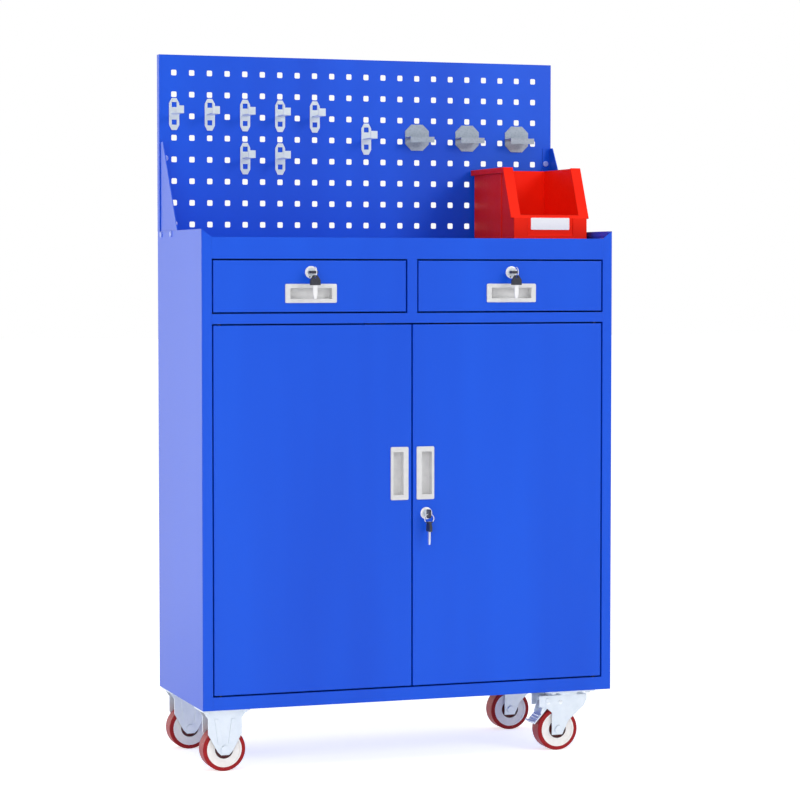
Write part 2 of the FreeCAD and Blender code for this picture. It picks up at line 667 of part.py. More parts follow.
def plier_holder(column, row):
    """Eight-sided plate with a slotted shelf in front and a lip at the shelf's edge."""
    place = hole_place(column, row)
    y0 = BOARD_Y - HOOK_T
    top, low = place.z + HOLDER_ABOVE, place.z - HOLDER_BELOW
    half, cut = HOLDER_W / 2, HOLDER_CHAMFER
    ends = [(-half, top - cut), (-half + cut, top), (half - cut, top), (half, top - cut),
            (half, low + cut), (half - cut, low), (-half + cut, low), (-half, low + cut)]
    plate = slab([V(place.x + x, y0, z) for x, z in ends], V(0, HOOK_T, 0))
    z = place.z + HOLDER_SHELF_UP
    reach = y0 - HOLDER_SHELF_D
    ledge = box(place.x - half, place.x + half, reach, y0, z - HOOK_T, z)
    slot = HOLDER_SLOT_W / 2
    middle = (reach + y0) / 2
    ledge = ledge.cut(box(place.x - slot, place.x + slot,
                          middle - HOLDER_SLOT_D / 2, middle + HOLDER_SLOT_D / 2,
                          z - HOOK_T - OVERRUN, z + OVERRUN))
    lip = box(place.x - half, place.x + half, reach, reach + HOOK_T, z - HOLDER_LIP, z)
    return fused([plate, ledge, lip, hook_tongue(place)])


def bin_place():
    """Front left lower corner of the parts bin, on the tray floor."""
    x = HALF_W - BIN_RIGHT_GAP - BIN_W
    y = BOARD_Y - SHEET - BIN_REAR_GAP - BIN_D
    return V(x, y, TRAY_Z + BIN_FLOOR_GAP)


def parts_bin():
    """Bin with a low front lip, slanted front edges, a rim, and a raised band on each side."""
    corner = bin_place()
    x0, x1 = corner.x, corner.x + BIN_W
    y0, y1 = corner.y, corner.y + BIN_D
    low, lip, top = corner.z, corner.z + BIN_LIP_H, corner.z + BIN_H
    run = y0 + BIN_FRONT_RUN
    side = [V(x0, y0, low), V(x0, y0, lip), V(x0, run, top), V(x0, y1, top), V(x0, y1, low)]
    shell = slab(side, V(BIN_W, 0, 0))
    shell = shell.cut(box(x0 + BIN_WALL, x1 - BIN_WALL, y0 + BIN_WALL, y1 - BIN_WALL,
                          low + BIN_WALL, top + OVERRUN))
    # Rim round the two sides and the back
    rim = box(x0 - BIN_RIM_W, x1 + BIN_RIM_W, run, y1 + BIN_RIM_W, top - BIN_RIM_H, top)
    rim = rim.cut(box(x0 + BIN_WALL, x1 - BIN_WALL, run - OVERRUN, y1 - BIN_WALL,
                      top - BIN_RIM_H - OVERRUN, top + OVERRUN))
    # A strip along each slanted edge, turned inwards and out to the rim
    slant = (V(0, run, top) - V(0, y0, lip)).normalize()
    inward = V(0, slant.z, -slant.y) * BIN_STRIP_T
    out = V(-BIN_RIM_W, 0, 0)
    strip = slab([end + out for end in (side[1], side[2], side[2] + inward, side[1] + inward)],
                 V(BIN_STRIP_W + BIN_RIM_W, 0, 0))
    # Raised bands on the sides and a frame on the lip round the label's place
    band = box(x0 - BIN_BAND_T, x0, y1 - BIN_BAND_FROM_BACK - BIN_BAND_W, y1 - BIN_BAND_FROM_BACK, low, top)
    frame = box(x0, x1, y0 - BIN_FRAME_T, y0, low, lip)
    frame = frame.cut(box(x0 + BIN_FRAME_W, x1 - BIN_FRAME_W, y0 - OVERRUN, y0,
                          low + BIN_FRAME_LOW, lip + OVERRUN))
    middle = (x0 + x1) / 2
    return fused([shell, rim, strip, mirrored(strip, middle), band, mirrored(band, middle), frame])


def cup_cut(x, z, half_u, half_v, offset_x, front):
    """The hole that a pull's cup needs in its front."""
    return box(x + offset_x - half_u, x + offset_x + half_u, front - OVERRUN, front + SHEET + OVERRUN,
               z - half_v, z + half_v)


def pull(x, z, half_u, half_v, cup_u, cup_v, offset_x):
    """Recessed pull: a face plate on the front and a cup behind it."""
    front = FRONT_Y
    face = rounded_block(half_u, half_v, PULL_CORNER_R, V(x, front, z), V(1, 0, 0), V(0, 0, 1), PULL_PROUD)
    face = soften(face, PULL_PROUD / 2, lambda mid, way: mid.y < front - PULL_PROUD / 2)
    cx = x + offset_x
    cup = box(cx - cup_u - CUP_WALL, cx + cup_u + CUP_WALL, front, front + CUP_DEPTH, z - cup_v - CUP_WALL,
              z + cup_v + CUP_WALL)
    body = fused([face, cup])
    recess = box(cx - cup_u, cx + cup_u, front - PULL_PROUD - OVERRUN, front + CUP_DEPTH - CUP_WALL,
                 z - cup_v, z + cup_v)
    return body.cut(recess)


def drawer_front(x):
    """Folded front of a drawer, with holes for the pull and the lock."""
    half = DRAWER_W / 2
    front = front_pan(x - half, x + half, DRAWER_LOW_Z + PANEL_GAP, DRAWER_TOP_Z - PANEL_GAP,
                      DRAWER_T, DRAWER_LIP, SHEET)
    wall = CUP_WALL + CUP_CLEAR
    front = front.cut(cup_cut(x, DRAWER_PULL_Z, CUP_L / 2 + wall, CUP_W / 2 + wall, 0, FRONT_Y))
    return front.cut(rod(V(x, FRONT_Y - OVERRUN, DRAWER_LOCK_Z), V(0, 1, 0), BARREL_R + BARREL_CLEAR,
                         2 * OVERRUN))


def drawer_box(x):
    """Open box behind a drawer front: floor, two sides and a back."""
    half = DRAWER_W / 2 + PANEL_GAP - SLIDE_SPACE
    y0 = FRONT_Y + DRAWER_T
    low = DRAWER_LOW_Z + BOX_FLOOR_GAP
    shell = box(x - half, x + half, y0, y0 + BOX_D, low, low + BOX_H)
    return shell.cut(box(x - half + BOX_SHEET, x + half - BOX_SHEET, y0 - OVERRUN, y0 + BOX_D - BOX_SHEET,
                         low + BOX_SHEET, low + BOX_H + OVERRUN))


def slide_sizes():
    """Height band of the rails and the start and end of their length."""
    low = DRAWER_LOW_Z + BOX_FLOOR_GAP + (BOX_H - RAIL_H) / 2
    y0 = FRONT_Y + RAIL_SETBACK
    return low, low + RAIL_H, y0, y0 + RAIL_L


def fixed_rail(edge, way, wall):
    """Rail beside a drawer, open towards it, on two brackets that stand on the wall."""
    low, high, y0, y1 = slide_sizes()
    a, b = edge, edge + way * RAIL_T
    lip = edge + way * RAIL_FLANGE
    pieces = [box(min(a, b), max(a, b), y0, y1, low, high),
              box(min(a, lip), max(a, lip), y0, y1, low, low + RAIL_T),
              box(min(a, lip), max(a, lip), y0, y1, high - RAIL_T, high)]
    for y in (y0, y1 - RAIL_BRACKET_L):
        bracket = box(min(wall, a), max(wall, a), y, y + RAIL_BRACKET_L, low + RAIL_T, high - RAIL_T)
        hollow = box(min(wall, a) + RAIL_T, max(wall, a) - RAIL_T, y + RAIL_T, y + RAIL_BRACKET_L - RAIL_T,
                     low, high)
        pieces.append(bracket.cut(hollow))
    return fused(pieces)


def runner(side_x, way):
    """Channel on a drawer's side that rides in the fixed rail."""
    low, high, y0, y1 = slide_sizes()
    low += RAIL_T + RUNNER_CLEAR
    high -= RAIL_T + RUNNER_CLEAR
    web, end = side_x + way * RAIL_T, side_x + way * RUNNER_REACH
    bar = box(min(side_x, end), max(side_x, end), y0, y1, low, high)
    return bar.cut(box(min(web, end + way * OVERRUN), max(web, end + way * OVERRUN),
                       y0 - OVERRUN, y1 + OVERRUN, low + RAIL_T, high - RAIL_T))


def drawer_rails():
    """The four fixed rails: two on the side panels and two on the partition."""
    outer = fixed_rail(-OPENING_X, 1, -HALF_W + SHEET)
    inner = fixed_rail(-POST_W / 2, -1, -SHEET / 2)
    return Part.makeCompound([outer, inner, mirrored(outer), mirrored(inner)])


def drawer_runners(x):
    """The two runners of a drawer."""
    half = DRAWER_W / 2 + PANEL_GAP - SLIDE_SPACE
    return Part.makeCompound([runner(x - half, -1), runner(x + half, 1)])


def door_leaf(side):
    """Folded door: side -1 is hung on the left and +1 on the right."""
    free = side * PANEL_GAP / 2
    hung = side * (OPENING_X - PANEL_GAP)
    leaf = front_pan(min(free, hung), max(free, hung), DOOR_LOW_Z + PANEL_GAP, DOOR_TOP_Z - PANEL_GAP,
                     DOOR_T, DOOR_LIP, SHEET)
    wall = CUP_WALL + CUP_CLEAR
    x = side * (PANEL_GAP / 2 + DOOR_PULL_FROM_EDGE)
    leaf = leaf.cut(cup_cut(x, DOOR_PULL_Z, CUP_W / 2 + wall, CUP_L / 2 + wall, side * CUP_OFFSET, FRONT_Y))
    for z in (DOOR_LOW_Z, DOOR_TOP_Z):
        leaf = leaf.cut(rod(V(side * HINGE_X, HINGE_Y, z - HINGE_PIN_IN), V(0, 0, 1),
                            HINGE_PIN_R + HINGE_CLEAR, 2 * HINGE_PIN_IN))
    if side > 0:
        leaf = leaf.cut(rod(V(door_lock_x(), FRONT_Y - OVERRUN, DOOR_LOCK_Z), V(0, 1, 0),
                            BARREL_R + BARREL_CLEAR, 2 * OVERRUN))
    return leaf


def hinge_pins():
    """Four pins in the rails, on which the doors turn."""
    pins = []
    for x in (-HINGE_X, HINGE_X):
        for z, up in ((DOOR_LOW_Z, 1), (DOOR_TOP_Z, -1)):
            root = V(x, HINGE_Y, z - up * SHEET)
            way = V(0, 0, up)
            shank = rod(root, way, HINGE_PIN_R, SHEET + HINGE_PIN_IN)
            head = rod(root, way * -1, HINGE_HEAD_R, HINGE_HEAD_H)
            pins.append(fused([shank, head]))
    return Part.makeCompound(pins)


def door_lock_x():
    """Distance of the door lock from the middle."""
    return PANEL_GAP / 2 + DOOR_LOCK_FROM_EDGE


def lock_barrel(x, z, length):
    """Lock case: a round face on the front and a barrel behind it, bored for the plug."""
    face = rod(V(x, FRONT_Y, z), V(0, -1, 0), LOCK_R, LOCK_PROUD)
    face = soften(face, LOCK_PROUD / 2, lambda mid, way: mid.y < FRONT_Y - LOCK_PROUD / 2)
    barrel = rod(V(x, FRONT_Y, z), V(0, 1, 0), BARREL_R, length)
    case = fused([face, barrel])
    return case.cut(rod(V(x, FRONT_Y - LOCK_PROUD - OVERRUN, z), V(0, 1, 0), PLUG_R + PLUG_CLEAR,
                        length + LOCK_PROUD + 2 * OVERRUN))


def upright(shape, x, z):
    """A quarter turn about a lock's axis."""
    turned = shape.copy()
    turned.rotate(V(x, FRONT_Y, z), V(0, 1, 0), QUARTER_TURN)
    return turned


def key_neck(x, z):
    """The flat stem of a key, half of it in the plug."""
    front = FRONT_Y - LOCK_PROUD
    return box(x - KEY_NECK_W / 2, x + KEY_NECK_W / 2, front - KEY_NECK_L, front + KEY_NECK_L,
               z - KEY_NECK_T / 2, z + KEY_NECK_T / 2)


def lock_plug(x, z, length):
    """Turning plug with its cam behind the barrel; the cam points along +X when unlocked."""
    front = FRONT_Y - LOCK_PROUD
    rear = FRONT_Y + length + CAM_GAP
    plug = rod(V(x, front, z), V(0, 1, 0), PLUG_R, rear + CAM_T - front)
    half = CAM_W / 2
    tip = V(x + CAM_L - half, rear, z)
    cam = box(x, tip.x, rear, rear + CAM_T, z - half, z + half)
    return fused([plug, cam, rod(V(x, rear, z), V(0, 1, 0), half, CAM_T), rod(tip, V(0, 1, 0), half, CAM_T)])


def key_eye(x, z):
    """Middle of the eye in the head of the key in a lock."""
    return V(x, FRONT_Y - KEY_REACH + KEY_EYE_IN, z)


def lock_key(x, z):
    """Key in a lock, its flat head level."""
    front = FRONT_Y - LOCK_PROUD
    y0, y1 = front - KEY_NECK_L - KEY_HEAD_L, front - KEY_NECK_L
    head = rounded_block(KEY_HEAD_W / 2, KEY_HEAD_L / 2, KEY_HEAD_R, V(x, (y0 + y1) / 2, z - KEY_HEAD_T / 2),
                         V(1, 0, 0), V(0, 1, 0), KEY_HEAD_T)
    eye = rod(key_eye(x, z - KEY_HEAD_T), V(0, 0, 1), KEY_EYE_R, 2 * KEY_HEAD_T)
    return fused([key_neck(x, z), head]).cut(eye)


def spare_key(eye, across):
    """Spare key that hangs flat, its eye at a point; across is the unit vector of its width."""
    facing = across.cross(V(0, 0, 1))
    start = eye + V(0, 0, SPARE_EYE_IN) - facing * (SPARE_HEAD_T / 2)
    shoulder, foot = -SPARE_SHOULDER_H, -SPARE_HEAD_H
    half, top = SPARE_HEAD_W / 2, SPARE_TOP_W / 2
    ends = [(-top, 0), (top, 0), (half, shoulder), (half, foot), (-half, foot), (-half, shoulder)]
    head = slab([start + across * u + V(0, 0, v) for u, v in ends], facing * SPARE_HEAD_T)
    head = head.cut(rod(eye - facing * SPARE_HEAD_T, facing, KEY_EYE_R, 2 * SPARE_HEAD_T))
    root = eye + V(0, 0, SPARE_EYE_IN) - facing * (BLADE_T / 2)
    half, tip = BLADE_W / 2, BLADE_TIP_W / 2
    low = foot - BLADE_L
    ends = [(-half, foot), (half, foot), (half, low + BLADE_W), (tip, low), (-tip, low),
            (-half, low + BLADE_W)]
    blade = slab([root + across * u + V(0, 0, v) for u, v in ends], facing * BLADE_T)
    return fused([head, blade])


def drawer_spare(x, z):
    """Ring in front of a drawer key and the spare key flat to the front."""
    middle = key_eye(x, z) - V(0, RING_R, 0)
    ring = Part.makeTorus(RING_R, RING_WIRE_R, middle, V(1, 0, 0))
    return Part.makeCompound([ring, spare_key(middle - V(0, 0, RING_R), V(1, 0, 0))])


def door_spare(x, z):
    """Ring under the door key and the spare key edge-on to the front."""
    middle = key_eye(x, z) - V(0, 0, RING_R)
    ring = Part.makeTorus(RING_R, RING_WIRE_R, middle, V(0, 1, 0))
    return Part.makeCompound([ring, spare_key(middle - V(0, 0, RING_R), V(0, 1, 0))])


def caster_y(way):
    """Middle of the front (-1) or rear (+1) casters."""
    return MID_Y + way * CASTER_Y


def caster_bolt_places():
    """Where the caster plates are bolted to the base pan."""
    places = []
    for x in (LEFT_CASTER_X, RIGHT_CASTER_X):
        for way in (-1, 1):
            for a in (-1, 1):
                for b in (-1, 1):
                    places.append((x + a * PLATE_BOLT_X, caster_y(way) + b * PLATE_BOLT_Y))
    return places


def caster_bolts():
    """Low-headed bolts under the caster plates, with nuts on the base pan."""
    bolts = []
    under, over = CASTER_H - PLATE_T, FLOOR_Z + SHEET
    for x, y in caster_bolt_places():
        head = rod(V(x, y, under - PLATE_BOLT_HEAD_H), V(0, 0, 1), PLATE_BOLT_HEAD_R, PLATE_BOLT_HEAD_H)
        shank = rod(V(x, y, under), V(0, 0, 1), PLATE_BOLT_R, over + PLATE_NUT_H - under)
        nut = rod(V(x, y, over), V(0, 0, 1), PLATE_BOLT_HEAD_R, PLATE_NUT_H)
        bolts.append(fused([head, shank, nut]))
    return bolts


def caster_plate(x, y, length):
    """Flat top plate with round corners and four bolt holes."""
    plate = rounded_block(length / 2, PLATE_W / 2, PLATE_CORNER_R, V(x, y, CASTER_H - PLATE_T),
                          V(1, 0, 0), V(0, 1, 0), PLATE_T)
    for a in (-1, 1):
        for b in (-1, 1):
            plate = plate.cut(rod(V(x + a * PLATE_BOLT_X, y + b * PLATE_BOLT_Y, CASTER_H - PLATE_T - OVERRUN),
                                  V(0, 0, 1), PLATE_BOLT_R + BOLT_CLEAR, PLATE_T + 2 * OVERRUN))
    return plate


def leg_pair(points, x, y):
    """Two equal fork legs from an outline in x and z, measured from the axle."""
    legs = []
    for start in (y - FORK_OUT, y + FORK_IN):
        legs.append(slab([V(x + u, start, v) for u, v in points], V(0, FORK_T, 0)))
    return legs


def rigid_fork(x, y):
    """Rigid fork: top plate and two legs, each with two pressed ribs."""
    top = CASTER_H - PLATE_T
    neck = top - FORK_NECK_DROP
    waist = WHEEL_R + FORK_WAIST_UP
    foot = WHEEL_R - FORK_FOOT_DROP
    a, b, c = FORK_TOP_L / 2, FORK_NECK_L / 2, FORK_FOOT_L / 2
    d, heel = c - FORK_FOOT_CUT, foot + FORK_FOOT_CUT
    points = [(-a, top), (a, top), (b, neck), (b, waist), (c, heel), (d, foot), (-d, foot), (-c, heel),
              (-b, waist), (-b, neck)]
    legs = leg_pair(points, x, y)
    low = WHEEL_R + RIB_ABOVE_AXLE
    ribs = []
    for way in (-1, 1):
        for side in (-1, 1):
            u = x + side * RIB_FROM_MIDDLE
            lean = u - side * RIB_LEAN
            start = y + way * FORK_OUT
            ribs.append(slab([V(u - RIB_W / 2, start, neck), V(u + RIB_W / 2, start, neck),
                              V(lean + RIB_W / 2, start, low), V(lean - RIB_W / 2, start, low)],
                             V(0, way * RIB_T, 0)))
    fork = fused([caster_plate(x, y, RIGID_PLATE_L)] + legs + ribs)
    return fork.cut(rod(V(x, y - FORK_OUT - OVERRUN, WHEEL_R), V(0, 1, 0), AXLE_R, 2 * (FORK_OUT + OVERRUN)))


def swivel_plate(x, y):
    """Top plate of a swivel caster with its king pin."""
    low = RACE_Z - FORK_T - RACE_CLEAR
    pin = rod(V(x, y, low - KING_HEAD_H), V(0, 0, 1), KING_PIN_R, CASTER_H - PLATE_T - low + KING_HEAD_H)
    head = rod(V(x, y, low - KING_HEAD_H), V(0, 0, 1), KING_HEAD_R, KING_HEAD_H)
    return fused([caster_plate(x, y, SWIVEL_PLATE_L), pin, head])


def brake_pivot(x):
    """Where the brake pedal turns, in x and z."""
    return x - BRAKE_ARM, RACE_Z - BRAKE_DROP


def swivel_fork(x, y, braked):
    """Swivel fork: race, crown and two legs that trail to -X; the braked one carries the pedal's pin."""
    axle = x - SWIVEL_TRAIL
    low = WHEEL_R - FORK_FOOT_DROP
    arm = RACE_Z - SWIVEL_ARM_H
    points = [(-SWIVEL_ARM, RACE_Z), (-SWIVEL_ARM, arm), (-2 * SWIVEL_SHIN, arm),
              (-SWIVEL_SHIN, arm - SWIVEL_SHOULDER), (-SWIVEL_SHIN, low), (SWIVEL_TOE, low),
              (SWIVEL_TOE + SWIVEL_SHOULDER, low + SWIVEL_CALF_H), (SWIVEL_BACK - SWIVEL_SHOULDER / 2, arm),
              (SWIVEL_BACK, arm + SWIVEL_SHOULDER), (SWIVEL_BACK, RACE_Z)]
    legs = leg_pair(points, axle, y)
    crown = box(axle - SWIVEL_SHIN, axle + SWIVEL_BACK, y - FORK_IN, y + FORK_IN, RACE_Z - FORK_T, RACE_Z)
    race = rod(V(x, y, RACE_Z), V(0, 0, 1), RACE_R, RACE_H - RACE_CLEAR)
    fork = fused(legs + [crown, race])
    fork = fork.cut(rod(V(x, y, RACE_Z - FORK_T - OVERRUN), V(0, 0, 1), KING_PIN_R + KING_PIN_CLEAR,
                        FORK_T + RACE_H + 2 * OVERRUN))
    fork = fork.cut(rod(V(axle, y - FORK_OUT - OVERRUN, WHEEL_R), V(0, 1, 0), AXLE_R,
                        2 * (FORK_OUT + OVERRUN)))
    if braked:
        u, v = brake_pivot(axle)
        end = FORK_OUT + BRAKE_PIN_HEAD_H
        pin = rod(V(u, y - end, v), V(0, 1, 0), BRAKE_PIN_R, 2 * end)
        heads = [rod(V(u, y - end, v), V(0, 1, 0), BRAKE_PIN_HEAD_R, BRAKE_PIN_HEAD_H),
                 rod(V(u, y + FORK_OUT, v), V(0, 1, 0), BRAKE_PIN_HEAD_R, BRAKE_PIN_HEAD_H)]
        fork = fused([fork, pin] + heads)
    return fork


def brake_pedal(x, y):
    """Pedal of the brake: a sloped plate over the tyre, two cheeks and a tube on the pin."""
    axle = x - SWIVEL_TRAIL
    u, v = brake_pivot(axle)
    slope = math.radians(BRAKE_SLOPE)
    along = V(-math.cos(slope), 0, -math.sin(slope))
    out = V(-math.sin(slope), 0, math.cos(slope))
    half = FORK_IN - BRAKE_SIDE_GAP
    near = V(axle, y - half, WHEEL_R) + out * (WHEEL_R + BRAKE_GAP)
    first, last = near - along * (BRAKE_PLATE_L * BRAKE_ABOVE_SHARE), near + along * (
        BRAKE_PLATE_L * (1 - BRAKE_ABOVE_SHARE))
    plate = slab([first, last, last + out * BRAKE_T, first + out * BRAKE_T], V(0, 2 * half, 0))
    edge = last + out * BRAKE_TOE
    toe = slab([last, edge, edge - along * BRAKE_T, last - along * BRAKE_T], V(0, 2 * half, 0))
    tube_r = BRAKE_PIN_R + BRAKE_T
    pivot = V(u, y - half, v)
    tube = rod(pivot, V(0, 1, 0), tube_r, 2 * half)
    cheek_points = [pivot + out * tube_r, pivot - out * tube_r, first, near, near + out * BRAKE_T * 2]
    cheek = slab(cheek_points, V(0, BRAKE_T, 0))
    other = cheek.copy()
    other.translate(V(0, 2 * half - BRAKE_T, 0))
    pedal = fused([plate, toe, tube, cheek, other])
    return pedal.cut(rod(pivot - V(0, OVERRUN, 0), V(0, 1, 0), BRAKE_PIN_R + BRAKE_PIN_CLEAR,
                         2 * (half + OVERRUN)))


def wheel_core(x, y):
    """Moulded wheel centre with a hub that stands out of a round recess."""
    half = WHEEL_W / 2
    start = V(x, y - half, WHEEL_R)
    disc = rod(start, V(0, 1, 0), WHEEL_R - TYRE_T, WHEEL_W)
    for a, way in ((y - half, 1), (y + half, -1)):
        dish = rod(V(x, a, WHEEL_R), V(0, way, 0), WHEEL_R - TYRE_T - CORE_RIM, CORE_DISH)
        recess = rod(V(x, a, WHEEL_R), V(0, way, 0), HUB_RECESS_R, HUB_RECESS)
        disc = disc.cut(dish).cut(recess)
    hub = rod(V(x, y - HUB_W / 2, WHEEL_R), V(0, 1, 0), HUB_R, HUB_W)
    return fused([disc, hub]).cut(rod(V(x, y - HUB_W, WHEEL_R), V(0, 1, 0), AXLE_R + AXLE_CLEAR, 2 * HUB_W))


def tyre(x, y):
    """Tyre band with rounded shoulders."""
    half = WHEEL_W / 2
    band = rod(V(x, y - half, WHEEL_R), V(0, 1, 0), WHEEL_R, WHEEL_W)
    band = soften(band, TYRE_CROWN, lambda mid, way: abs(abs(mid.y - y) - half) < SHEET)
    return band.cut(rod(V(x, y - half - OVERRUN, WHEEL_R), V(0, 1, 0), WHEEL_R - TYRE_T,
                        WHEEL_W + 2 * OVERRUN))


def axle(x, y):
    """Axle through both legs, with a round head at each end."""
    end = FORK_OUT + AXLE_HEAD_H
    pieces = [rod(V(x, y - end, WHEEL_R), V(0, 1, 0), AXLE_R, 2 * end)]
    for start in (y - end, y + FORK_OUT):
        pieces.append(rod(V(x, start, WHEEL_R), V(0, 1, 0), AXLE_HEAD_R, AXLE_HEAD_H))
    return fused(pieces)


def drawer_nodes(name, x):
    """All pieces of one drawer."""
    z = DRAWER_LOCK_Z
    return {
        name + "_front": drawer_front(x),
        name + "_box": drawer_box(x),
        name + "_runners": drawer_runners(x),
        name + "_pull": pull(x, DRAWER_PULL_Z, PULL_L / 2, PULL_W / 2, CUP_L / 2, CUP_W / 2, 0),
        name + "_lock_barrel": lock_barrel(x, z, DRAWER_BARREL_L),
        name + "_lock_plug": lock_plug(x, z, DRAWER_BARREL_L).cut(key_neck(x, z)),
        name + "_key": lock_key(x, z),
        name + "_spare_key": drawer_spare(x, z),
    }


def door_nodes(name, side):
    """Leaf and pull of one door."""
    x = side * (PANEL_GAP / 2 + DOOR_PULL_FROM_EDGE)
    return {
        name: door_leaf(side),
        name + "_pull": pull(x, DOOR_PULL_Z, PULL_W / 2, PULL_L / 2, CUP_W / 2, CUP_L / 2, side * CUP_OFFSET),
    }


def door_lock_nodes():
    """Lock of the right door with its keys."""
    x, z = door_lock_x(), DOOR_LOCK_Z
    return {
        "door_lock_barrel": lock_barrel(x, z, BARREL_L),
        "door_lock_plug": lock_plug(x, z, BARREL_L).cut(upright(key_neck(x, z), x, z)),
        "door_key": upright(lock_key(x, z), x, z),
        "door_spare_key": door_spare(x, z),
    }


def caster_nodes():
    """Wheels, forks and plates of the four casters."""
    front, rear = caster_y(-1), caster_y(1)
    left, right = LEFT_CASTER_X, RIGHT_CASTER_X
    trail = right - SWIVEL_TRAIL
    nodes = {
        "rigid_caster_forks": Part.makeCompound([rigid_fork(left, front), rigid_fork(left, rear)]),
        "rigid_caster_axles": Part.makeCompound([axle(left, front), axle(left, rear)]),
        "swivel_caster_plates": Part.makeCompound([swivel_plate(right, front), swivel_plate(right, rear)]),
        "brake_pedal": brake_pedal(right, front),
    }
    for name, y, braked in (("front", front, True), ("rear", rear, False)):
        nodes[name + "_swivel_fork"] = swivel_fork(right, y, braked)
        nodes[name + "_swivel_axle"] = axle(trail, y)
    for name, x, y in (("front_left", left, front), ("rear_left", left, rear),
                       ("front_right", trail, front), ("rear_right", trail, rear)):
        nodes[name + "_wheel"] = wheel_core(x, y)
        nodes[name + "_tyre"] = tyre(x, y)
    return nodes


def body_nodes():
    """Sheet pieces of the body and what is fixed inside it."""
    left = side_panel()
    return {
        "left_side_panel": left,
        "right_side_panel": mirrored(left),
        "back_panel": back_panel(),
        "base_pan": base_pan(),
        "front_frame": front_frame(),
        "tray": tray(),
        "drawer_deck": drawer_deck(),
        "drawer_partition": partition(),
        "drawer_rails": drawer_rails(),
        "shelf": shelf(),
        "shelf_clips": shelf_clips(),
        "door_catches": door_catches(),
        "door_hinge_pins": hinge_pins(),
    }


def board_nodes():
    """Hole board, its gussets, and what hangs on it."""
    left = gusset()
    return {
        "hole_board": hole_board(),
        "left_gusset": left,
        "right_gusset": mirrored(left),
        "strap_hooks": Part.makeCompound([strap_hook(*at) for at in zip(HOOK_COLUMNS, HOOK_ROWS)]),
        "plier_holders": Part.makeCompound([plier_holder(*at) for at in zip(HOLDER_COLUMNS, HOLDER_ROWS)]),
    }


def main():
    os.makedirs("parts", exist_ok=True)
    nodes = {}
    nodes.update(body_nodes())
    nodes.update(board_nodes())
    nodes["parts_bin"] = parts_bin()
    nodes["bolts"] = Part.makeCompound(gusset_bolts() + caster_bolts())
    nodes.update(drawer_nodes("left_drawer", -DRAWER_X))
    nodes.update(drawer_nodes("right_drawer", DRAWER_X))
    nodes.update(door_nodes("left_door", -1))
    nodes.update(door_nodes("right_door", 1))
    nodes.update(door_lock_nodes())
    nodes.update(caster_nodes())
    for name, shape in nodes.items():
        shape.exportStep(os.path.join("parts", name + ".step"))
        print(name, len(shape.Solids), shape.isValid(), round(shape.Volume))


main()
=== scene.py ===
"""Looks of the tool cabinet: materials, small fittings, studio light and camera."""
import bpy
import bmesh
import json
import math
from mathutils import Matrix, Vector


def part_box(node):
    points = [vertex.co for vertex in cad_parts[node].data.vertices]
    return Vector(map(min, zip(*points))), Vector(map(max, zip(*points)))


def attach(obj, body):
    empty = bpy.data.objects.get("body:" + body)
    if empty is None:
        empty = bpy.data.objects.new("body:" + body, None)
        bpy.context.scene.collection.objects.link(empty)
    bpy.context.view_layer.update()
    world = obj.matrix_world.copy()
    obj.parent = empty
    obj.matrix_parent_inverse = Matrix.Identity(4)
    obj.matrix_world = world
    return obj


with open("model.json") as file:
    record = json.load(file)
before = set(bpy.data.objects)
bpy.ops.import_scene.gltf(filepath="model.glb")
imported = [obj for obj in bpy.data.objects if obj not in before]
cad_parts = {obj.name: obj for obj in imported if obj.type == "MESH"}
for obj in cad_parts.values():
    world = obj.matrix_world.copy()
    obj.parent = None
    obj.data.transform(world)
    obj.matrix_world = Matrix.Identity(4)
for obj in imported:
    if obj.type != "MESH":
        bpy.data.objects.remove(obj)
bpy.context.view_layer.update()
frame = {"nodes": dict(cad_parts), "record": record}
nodes = frame["nodes"]
MM = 0.001


# Colours
def linear(red, green, blue):
    """A colour given in the usual 0 to 255 numbers, as the shader takes it."""
    out = []
    for value in (red, green, blue):
        c = value / 255
        out.append(c / 12.92 if c <= 0.04045 else ((c + 0.055) / 1.055) ** 2.4)
    return (out[0], out[1], out[2], 1.0)


WHITE = (1, 1, 1, 1)
ZINC_TONES = ((219, 228, 236), (226, 234, 241))

# Numbers of the colour sockets on Blender's mix node
MIX_FACTOR, MIX_FIRST, MIX_SECOND, MIX_RESULT = 0, 6, 7, 2


# Node helpers
class Nodes:
    """A node tree, with short ways to add to it."""

    def __init__(self, tree):
        self.tree = tree

    def add(self, kind, **settings):
        node = self.tree.nodes.new(kind)
        for key, value in settings.items():
            setattr(node, key, value)
        return node

    def put(self, socket, value):
        """Links an output to a socket, or sets the socket's own value."""
        if isinstance(value, bpy.types.NodeSocket):
            self.tree.links.new(value, socket)
        else:
            socket.default_value = value

    def fill(self, node, **values):
        """Values for a node's sockets; underscores stand for spaces."""
        for key, value in values.items():
            self.put(node.inputs[key.replace("_", " ")], value)

    def math(self, operation, first, second=0.0):
        node = self.add("ShaderNodeMath", operation=operation)
        self.put(node.inputs[0], first)
        self.put(node.inputs[1], second)
        return node.outputs[0]

    def most(self, *values):
        """The largest of several numbers."""
        largest = values[0]
        for value in values[1:]:
            largest = self.math("MAXIMUM", largest, value)
        return largest


